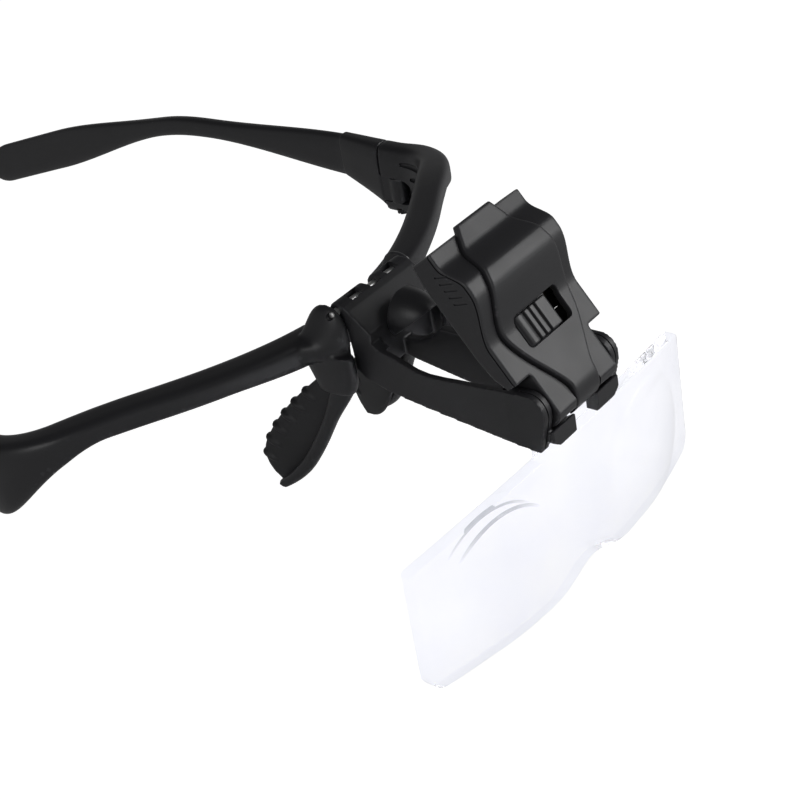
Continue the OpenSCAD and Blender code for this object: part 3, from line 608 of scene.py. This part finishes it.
case = bmesh.new()
back_line = [(-1, case_low), (0.5, 9.4), (1.1, 14), (1.1, 30), (0.2, case_high)]
lamp_plate(case, back_line + front_line(0, case_low, case_high)[::-1], -case_half, case_half,
           edge=0.35, steps=2)
lamp_plate(case, [(4, 0), (3.2, 5.5), (0.5, 10), (-4, 10), (-4, -3.2), (-2.8, -4.3), (-1, -4.8),
                  (1.5, -4.6), (3, -3.2)], -foot_half, foot_half)
add_rod(case, (-foot_half, 0, 0), (foot_half, 0, 0), foot_r)
shell = solid(case, "lamp_case")
mould(shell, 0.27, 2)
# Rooms for the cells, the switch and the board, the LEDs' opening, the door's bed and rails,
# and the shell screws' holes.
rooms = bmesh.new()
lamp_plate(rooms, [(-0.3, 9), (-0.3, 34.4)] + front_line(-1.3, 9, 34.4)[::-1], -13.1, 13.1)
add_block(rooms, (-8.5, -3.4, -2.8), (8.5, -0.3, 11.4))
add_block(rooms, (-7.1, -2.55, -6), (7.1, -0.1, -2))
add_block(rooms, (-10.6, -0.4, 12.4), (10.6, 2.6, 42.4))
add_block(rooms, (-11.4, -0.05, 12.4), (11.4, 0.65, 42.4))
for side in (-1, 1):
    add_rod(rooms, (side * 2.8, 5, 4.6), (side * 2.8, -3, 4.6), 0.85)
    add_rod(rooms, (side * 2.8, 5, 4.6), (side * 2.8, 1.6, 4.6), 1.7)
    # Shadow line behind the front flange, and slanted grip grooves on the flank.
    flange = front_line(-0.55, 6.0, 36.2) + front_line(-0.92, 6.0, 36.2)[::-1]
    lamp_plate(rooms, flange, side * 14.15, side * 15)
    for i in range(5):
        u = 24.2 + 1.55 * i
        lamp_plate(rooms, [(-6.4, u), (-3.2, u + 1.1), (-3.2, u + 1.5), (-6.4, u + 0.4)],
                   side * 14.32, side * 15)
add_rod(rooms, (-12, 0, 0), (12, 0, 0), 1.1)
# The cover's bed, and the mouth through which the knob reaches the switch.
add_cover(rooms, 0.32, 0.5, 3)
cut(shell, rooms)
mouth = bmesh.new()
add_cover(mouth, -1.6, 3.2, -0.4, low=-1.5, high=33.6)
cut(shell, mouth)
lean_back(shell)
case_plastic = moulded_plastic("case_plastic", (0.0165, 0.0165, 0.0185), (0.05, 0.05, 0.055),
                               0.40, grain=0.18)
finish(shell, case_plastic, "lamp", "black_plastic", "lamp_shell")

# Front cover. A moulded shield with a rounded rim that stands proud of the case over a shadow
# line, with the switch's opening in its middle and a tongue that reaches down between the tips
# and round the foot. Two posts at its back take the shell screws.
def weld(obj, added):
    """Joins another form to the piece."""
    tool = solid(added, obj.name + "_weld")
    change = obj.modifiers.new("weld", "BOOLEAN")
    change.operation, change.object, change.solver = "UNION", tool, "EXACT"
    apply_modifiers(obj)
    bpy.data.objects.remove(tool)


shield = bmesh.new()
add_cover(shield, 0, 0.42, proud, round_off=0.4)
cover = solid(shield, "lamp_front_cover")
window = bmesh.new()
add_block(window, (-7, -12, 9.8), (7.3, 0, 17))
upright = [e for e in window.edges if abs(e.verts[0].co.y - e.verts[1].co.y) > 1]
bmesh.ops.bevel(window, geom=upright, offset=1.3, segments=5, profile=0.5, affect="EDGES",
                material=-1)
cut(cover, window)
posts = bmesh.new()
for side in (-1, 1):
    add_rod(posts, (side * 2.8, -4.2, 4.6), (side * 2.8, -1.9, 4.6), 1.4)
weld(cover, posts)
mould(cover, 0.2, 2)
lean_back(cover)
finish(cover, case_plastic, "lamp", "black_plastic", "lamp_cover")

# Switch knob. A moulded black slider, convex at its near end, with three grip grooves in its
# middle and a flat far end. A thin apron keeps it behind the cover and closes the opening, and
# a peg drives the switch.
knob = bmesh.new()
knob_x, knob_u = -1.25, 13.4
knob_near, knob_far, knob_half, knob_back = -5.4, 5.05, 3.3, -3.35
face = [(knob_near, -4.35), (knob_near, -4.75), (-5.26, -5.1), (-4.8, -5.42), (-4.2, -5.6),
        (-3.5, -5.68), (-3.0, -5.62), (-2.75, -5.55)]
for x in (-2.3, -0.5, 1.3):
    face += [(x - 0.4, -5.5), (x - 0.22, -4.95), (x + 0.22, -4.95), (x + 0.4, -5.5)]
face += [(2.4, -5.5), (4.6, -5.46), (4.9, -5.34), (knob_far, -5.05), (knob_far, -4.35)]
add_plate(knob, [(x, y, -knob_half) for x, y in face], (0, 0, 2 * knob_half), edge=0.28, steps=2)
add_block(knob, (knob_near, -4.4, -knob_half), (knob_far, knob_back, 0.3))
add_block(knob, (knob_near, -3.93, -4.3), (knob_far, knob_back, -2.3))
add_block(knob, (-6.7, -3.95, -0.8), (6.3, -3.4, 3.5))
add_block(knob, (-1.3, -3.5, -2.7), (0.1, -2.5, -1.3))
bmesh.ops.translate(knob, vec=(knob_x, 0, knob_u), verts=knob.verts)
slider = solid(knob, "switch_slider")
mould(slider, 0.11, 2)
lean_back(slider)
knob_plastic = moulded_plastic("knob_plastic", (0.0145, 0.0145, 0.016), (0.05, 0.05, 0.055),
                               0.34, grain=0.14)
finish(slider, knob_plastic, "knob", "black_plastic", "switch_knob")

# Battery door. A flat moulded lid that slides on two rails in the lamp's back, with three finger
# ribs near its open end.
lid = bmesh.new()
door_low, door_high = 12.52, 35.4
add_block(lid, (-10.48, -0.3, door_low), (10.48, 1.1, door_high), edge=0.35)
add_block(lid, (-11.3, 0.05, door_low), (11.3, 0.55, door_high))
for i in range(3):
    add_block(lid, (-4, 0.8, 28 + 1.6 * i), (4, 1.5, 28.7 + 1.6 * i), edge=0.2)
door = solid(lid, "battery_lid")
mould(door, 0.2, 2)
lean_back(door)
finish(door, case_plastic, "door", "black_plastic", "battery_door")

# Inside of the lamp. Two coin cells under a leaf spring of brass strip, a contact plate on the
# door's side, a small green board with two LEDs over a clear window, a boxed switch and the
# shell's plated screws.
cells = bmesh.new()
cell_u = 25.4
for cell_y in (-2.35, -3.97):
    add_skin(cells, [((0, cell_y + y, cell_u), (r, 0, 0), (0, 0, r)) for y, r in (
        (0, 6.7), (0.12, 7), (0.2, 7.5), (0.35, 7.7), (1.3, 7.7), (1.5, 7.55), (1.6, 7.1))],
             corners=72, square=2)
pair = solid(cells, "coin_cell_pair")
lean_back(pair)
finish(pair, plated_steel, "lamp", "steel", "coin_cells")
strip = bmesh.new()
lamp_plate(strip, [(-1.42, 9.6), (-1.42, 14.6), (-3, 17.6), (-4, 19.2), (-4, 23), (-4.21, 23),
                   (-4.21, 19.15), (-3.2, 17.5), (-1.64, 14.55), (-1.64, 9.6)], 5.6, 6.9,
           edge=0.05, steps=1)
leaf = solid(strip, "cell_leaf_spring")
lean_back(leaf)
finish(leaf, drawn_metal("spring_strip", (0.3, 0.27, 0.2), 0.3, 0.3), "lamp", "brass",
       "cell_spring")
dress("cell_plate", bright_steel)
dress("lamp_pivot_pins", bright_steel)
dress("lamp_screws", plated_steel)
dress("switch_body", knob_plastic)
dress("led_board", moulded_plastic("board_mask", (0.01, 0.07, 0.025), (0.02, 0.1, 0.04), 0.3))


def clear_resin(name, colour, rough, ior):
    """Clear moulded resin with a faint uneven polish."""
    material, tree, shader = new_material(name)
    shader.inputs["Transmission Weight"].default_value = 1
    shader.inputs["IOR"].default_value = ior
    clouds = add_node(tree, "TexNoise", {"Scale": 60, "Detail": 3},
                      {"Vector": add_node(tree, "TexCoord").outputs["Object"]}).outputs["Fac"]
    tint = add_node(tree, "Mix", {"A": (*colour, 1), "B": (0.985, 0.985, 1, 1)},
                    {"Factor": clouds}, data_type="RGBA")
    gloss = add_node(tree, "MapRange", {"From Min": 0.35, "From Max": 0.75, "To Min": rough,
                                        "To Max": rough + 0.05}, {"Value": clouds})
    waves = add_node(tree, "Bump", {"Strength": 0.12, "Distance": 0.0002}, {"Height": clouds})
    feed(tree, shader, {"Base Color": tint.outputs["Result"],
                        "Roughness": gloss.outputs["Result"], "Normal": waves.outputs["Normal"]})
    return material


dress("leds", clear_resin("led_resin", (0.9, 0.9, 0.8), 0.1, 1.5))
pane = bmesh.new()
for side in (-1, 1):
    low_x, high_x = sorted((side * 4.3, side * 7.1))
    add_block(pane, (low_x, -2.5, -3.9), (high_x, -0.15, -2.85), edge=0.25)
add_block(pane, (-4.5, -1.5, -3.15), (4.5, -0.2, -2.87), edge=0.05)
glass = solid(pane, "led_pane")
mould(glass, 0.1, 2)
lean_back(glass)
finish(glass, clear_resin("window_resin", (0.9, 0.93, 0.98), 0.08, 1.49), "lamp", "lens",
       "led_window")

# Lens. One clear acrylic moulding wrapped round the face: two lobes, each with a round convex
# optic on its front, a notch between them for the nose, and a tab that enters the bracket.
lens_half, optic_x, optic_z, optic_r = 47, 25.3, -39.4, 15.5
face_y, rear_y, wrap, rim_r = -50.5, -47.5, 0.003, 0.4
lens_bm = bmesh.new()
grid = bmesh.ops.create_grid(lens_bm, x_segments=220, y_segments=110, size=1)["verts"]
sheet = list({f for v in grid for f in v.link_faces})


def lens_edge(x):
    """Lowest and highest level of the lens at x."""
    low = -53.9 + 4 * math.exp(-(x / 8) ** 2)
    round_in = max(abs(x) - 43, 0) / 4
    low += 4.4 * (1 - math.sqrt(max(1 - round_in * round_in, 0)))
    high = -19.2 - 5.6 * (abs(x) / lens_half) ** 2
    drop = max(abs(x) - 45.8, 0) / 1.2
    return low, high - 0.8 * drop * drop


def lens_bulge(x, z):
    """How far an optic stands out of the face: a cap on a step that is deepest above it."""
    away = math.hypot(abs(x) - optic_x, z - optic_z) / optic_r
    step = 0.06 + 0.34 * ease(((z - optic_z) / optic_r - 0.7) / 0.22)
    return 1.1 * max(1 - away * away, 0) + step * (1 - ease((away - 0.98) / 0.035))


def lens_rim(x, z):
    """How far the rounded rim falls back from the face."""
    low, high = lens_edge(x)
    near = min(max(1 - min(z - low, high - z, lens_half - abs(x)) / rim_r, 0), 1)
    return rim_r * (1 - math.sqrt(1 - near * near))


for v in grid:
    s, t = v.co.x, (math.sin(v.co.y * math.pi / 2) + 1) / 2
    x = lens_half * math.sin(s * math.pi / 2) * 0.35 + lens_half * s * 0.65
    low, high = lens_edge(x)
    z = low + (high - low) * t
    v.co = (x, face_y + wrap * x * x - lens_bulge(x, z) + lens_rim(x, z), z)
behind = bmesh.ops.extrude_face_region(lens_bm, geom=sheet)["geom"]
for v in behind:
    if isinstance(v, bmesh.types.BMVert):
        v.co.y = rear_y + wrap * v.co.x ** 2 - lens_rim(v.co.x, v.co.z)
lens = solid(lens_bm, "lens_blank")
tab = bmesh.new()
add_block(tab, (-12, -50.2, -21.2), (12, -47.8, -14.55), edge=0.25)
weld(lens, tab)
lens_acrylic = clear_resin("lens_acrylic", (0.80, 0.81, 0.88), 0.0, 1.07)
tree = lens_acrylic.node_tree
shader = tree.nodes["Principled BSDF"]
shader.inputs["Coat Weight"].default_value = 0.5
shader.inputs["Coat IOR"].default_value = 1.49
# Painted shade: the cut edges and the optics' steps, which refraction shows grey-blue, are tinted
# grey-blue in colour, the more so where they face upwards.
place = add_node(tree, "TexCoord")
turned = add_node(tree, "SeparateXYZ", sources={0: place.outputs["Normal"]})
side_on = add_node(tree, "Math", sources={0: turned.outputs["Y"]}, operation="ABSOLUTE")
edge_shade_tone = add_node(tree, "MapRange", {"From Min": 0.96, "From Max": 0.72},
                     {"Value": side_on.outputs[0]})
upward = add_node(tree, "MapRange", {"From Min": 0.1, "From Max": 0.45, "To Min": 0.35},
                  {"Value": turned.outputs["Z"]})
rim_shade_mask = add_node(tree, "Math", operation="MULTIPLY",
                  sources={0: edge_shade_tone.outputs["Result"], 1: upward.outputs["Result"]})
body_colour = shader.inputs["Base Color"].links[0].from_socket
painted_rim_shade = add_node(tree, "Mix", {"B": (0.86, 0.87, 0.92, 1)},
                    {"Factor": rim_shade_mask.outputs[0], "A": body_colour}, data_type="RGBA")
# Painted shade: a thin dark arc is painted along the upper part of the near optic's step, standing
# in for the reflection that darkens it there. In metres.
arc_r, arc_half = 0.01552, 0.0003
spot = add_node(tree, "SeparateXYZ", sources={0: place.outputs["Object"]})
flat = add_node(tree, "CombineXYZ", sources={"X": spot.outputs["X"], "Z": spot.outputs["Z"]})
away = add_node(tree, "VectorMath", {1: (-optic_x / 1000, 0, optic_z / 1000)},
                {0: flat.outputs[0]}, operation="DISTANCE")
ring = add_node(tree, "Math", {1: arc_r, 2: arc_half}, {0: away.outputs["Value"]},
                operation="COMPARE")
crown = add_node(tree, "MapRange", {"From Min": -0.0285, "From Max": -0.0245, "To Max": 0.9},
                 {"Value": spot.outputs["Z"]})
shown = add_node(tree, "Math", operation="MULTIPLY",
                 sources={0: ring.outputs[0], 1: crown.outputs["Result"]})
painted_arc_shade = add_node(tree, "Mix", {"B": (0.3, 0.31, 0.36, 1)},
                {"Factor": shown.outputs[0], "A": painted_rim_shade.outputs["Result"]}, data_type="RGBA")
tree.links.new(painted_arc_shade.outputs["Result"], shader.inputs["Base Color"])
finish(lens, lens_acrylic, "lens", "lens", "lens")

# Hinge blocks and temples. Each block turns on the frame's screw with a tongue in the frame's
# gap; the temple's plug slides into its socket. All are satin black nylon.
plug_x, plug_y, temple_z, temple_end = end_x + 0.9, 64.4, -11.4, 206
tongue_low, tongue_high = tongue_z - 3.3, tongue_z + 3.3


def temple_station(y):
    """A temple's section at y: it narrows behind the plug, then drops and widens at the ear."""
    sag = y - 125
    middle = temple_z - 0.33 * (sag + math.sqrt(sag * sag + 144)) / 2
    high = 5.1 + 6.1 * (1 - ease((y - 60) / 52)) + 6.5 * ease((y - 130) / 44)
    end = math.sqrt(max(1 - (max(y - 198, 0) / 8) ** 2, 0.03))
    x = plug_x + 0.02 * (y - plug_y) - 0.0003 * (y - plug_y) ** 2
    return ((x, y, middle), (1.8 * (0.75 + 0.25 * end), 0, 0), (0, 0, high / 2 * end))


for side, name in ((1, "left"), (-1, "right")):
    hinge = bmesh.new()
    stations = []
    for i in range(21):
        t = i / 20
        y, x = seam_y + (plug_y - seam_y) * t, end_x - 0.5 + 1.4 * t
        half = 3.1 - 0.9 * t
        top, low = -5.2 - 0.5 * t, -22.2 + 5.2 * t ** 0.8
        stations.append(((x, y, (top + low) / 2), (half, 0, 0), (0, 0, (top - low) / 2)))
    add_skin(hinge, stations, corners=48, square=3.6)
    add_rod(hinge, (fold_x, fold_y, tongue_low), (fold_x, fold_y, tongue_high), 2.3)
    add_block(hinge, (fold_x - 1.6, fold_y, tongue_low), (fold_x + 2.2, 51.4, tongue_high))
    bmesh.ops.scale(hinge, vec=(side, 1, 1), verts=hinge.verts)
    knuckle = solid(hinge, "hinge_block_" + name + "_nylon")
    mould(knuckle, 0.24, 2)
    bore = bmesh.new()
    add_rod(bore, (side * fold_x, fold_y, -30), (side * fold_x, fold_y, 0), 1.05)
    low_x, high_x = sorted((side * (plug_x - 1.12), side * (plug_x + 1.12)))
    add_block(bore, (low_x, plug_y - 9.8, temple_z - 3.12), (high_x, plug_y + 2, temple_z + 3.12))
    cut(knuckle, bore)
    finish(knuckle, satin_nylon, "block_" + name, "black_plastic", "hinge_block_" + name)

    arm = bmesh.new()
    start = plug_y + 0.25
    add_skin(arm, [temple_station(start + (temple_end - start) * i / 120) for i in range(121)],
             corners=44, square=2.8)
    add_block(arm, (plug_x - 1, plug_y - 9.6, temple_z - 3),
              (plug_x + 1, plug_y + 2, temple_z + 3), edge=0.2)
    bmesh.ops.scale(arm, vec=(side, 1, 1), verts=arm.verts)
    bow = solid(arm, "temple_" + name + "_nylon")
    finish(bow, satin_nylon, "temple_" + name, "black_plastic", "temple_" + name)

# Studio. A plain white floor and sky, a soft lamp at the front right and a weaker one at the
# left, and the camera at the photograph's angle.
floor_mesh = bmesh.new()
bmesh.ops.create_grid(floor_mesh, x_segments=1, y_segments=1, size=3000)
bmesh.ops.translate(floor_mesh, vec=(0, 0, -56), verts=floor_mesh.verts)
floor = solid(floor_mesh, "floor")
white, tree, shader = new_material("floor_white")
shader.inputs["Base Color"].default_value = (0.5, 0.5, 0.5, 1)
shader.inputs["Roughness"].default_value = 0.9
shader.inputs["Specular IOR Level"].default_value = 0
shader.inputs["Emission Color"].default_value = (1, 1, 1, 1)
rays = add_node(tree, "LightPath").outputs
seen = add_node(tree, "Math", {1: 0.32}, {0: rays["Transmission Depth"],
                                          2: rays["Is Camera Ray"]},
                operation="MULTIPLY_ADD", use_clamp=True)
mirrored = add_node(tree, "Math", {1: 0.12}, {0: rays["Is Glossy Ray"]}, operation="MULTIPLY")
strength = add_node(tree, "Math", {1: 0.85}, {0: seen.outputs[0], 2: mirrored.outputs[0]},
                    operation="MULTIPLY_ADD")
tree.links.new(strength.outputs[0], shader.inputs["Emission Strength"])
floor.data.materials.append(white)
floor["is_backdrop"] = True

# The sky is white to the eye and through the lens, and lights the object dimly from all round.
# What is mirrored of it is brighter near the horizon than above.
sky = bpy.data.worlds.new("studio")
bpy.context.scene.world = sky
sky.use_nodes = True
tree = sky.node_tree
tree.nodes.clear()
rays = add_node(tree, "LightPath").outputs
seen = add_node(tree, "Math", operation="MAXIMUM", use_clamp=True,
                sources={0: rays["Is Camera Ray"], 1: rays["Transmission Depth"]})
split = add_node(tree, "SeparateXYZ",
                 sources={0: add_node(tree, "TexCoord").outputs["Generated"]})
dim = add_node(tree, "MapRange", {"From Min": 0.02, "From Max": 0.45, "To Min": 0.5,
                                  "To Max": 0.08}, {"Value": split.outputs["Z"]})
glossy = add_node(tree, "Mix", {"A": 0.28}, {"Factor": rays["Is Glossy Ray"],
                                             "B": dim.outputs["Result"]})
level = add_node(tree, "Mix", {"B": 1}, {"Factor": seen.outputs[0],
                                         "A": glossy.outputs["Result"]})
light = add_node(tree, "Background", sources={"Strength": level.outputs["Result"]})
add_node(tree, "OutputWorld", sources={"Surface": light.outputs[0]})


def soft_box(name, place, aim, size, power):
    """Square lamp at a place, turned to a point."""
    lamp = bpy.data.lights.new(name, "AREA")
    lamp.shape, lamp.size, lamp.energy = "SQUARE", size, power
    box = bpy.data.objects.new(name, lamp)
    bpy.context.scene.collection.objects.link(box)
    box.matrix_world = Matrix.Translation(place) @ (
        Vector(place) - Vector(aim)).to_track_quat("Z", "Y").to_matrix().to_4x4()


soft_box("front_box", (0.55, -0.75, 0.42), (0, -0.02, 0), 0.55, 4.3)
soft_box("left_box", (-0.9, -0.2, 0.5), (0, 0, 0), 0.5, 2)

# The camera stands ahead of the wearer's right side and looks down. Its turns are in degrees.
eye_place = (-0.255106, -0.247913, 0.194898)
eye_turn, eye_drop, eye_lean = -46.35, 31.903, -10.554
eye = bpy.data.cameras.new("camera")
eye.lens, eye.sensor_width = 88.52, 36
eye.clip_start = 0.01
camera = bpy.data.objects.new("camera", eye)
bpy.context.scene.collection.objects.link(camera)
camera.matrix_world = (Matrix.Translation(eye_place)
                       @ Matrix.Rotation(math.radians(eye_turn), 4, "Z")
                       @ Matrix.Rotation(math.radians(90 - eye_drop), 4, "X")
                       @ Matrix.Rotation(math.radians(eye_lean), 4, "Z"))
bpy.context.scene.camera = camera
bpy.context.scene.view_settings.view_transform = "Standard"

low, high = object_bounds()
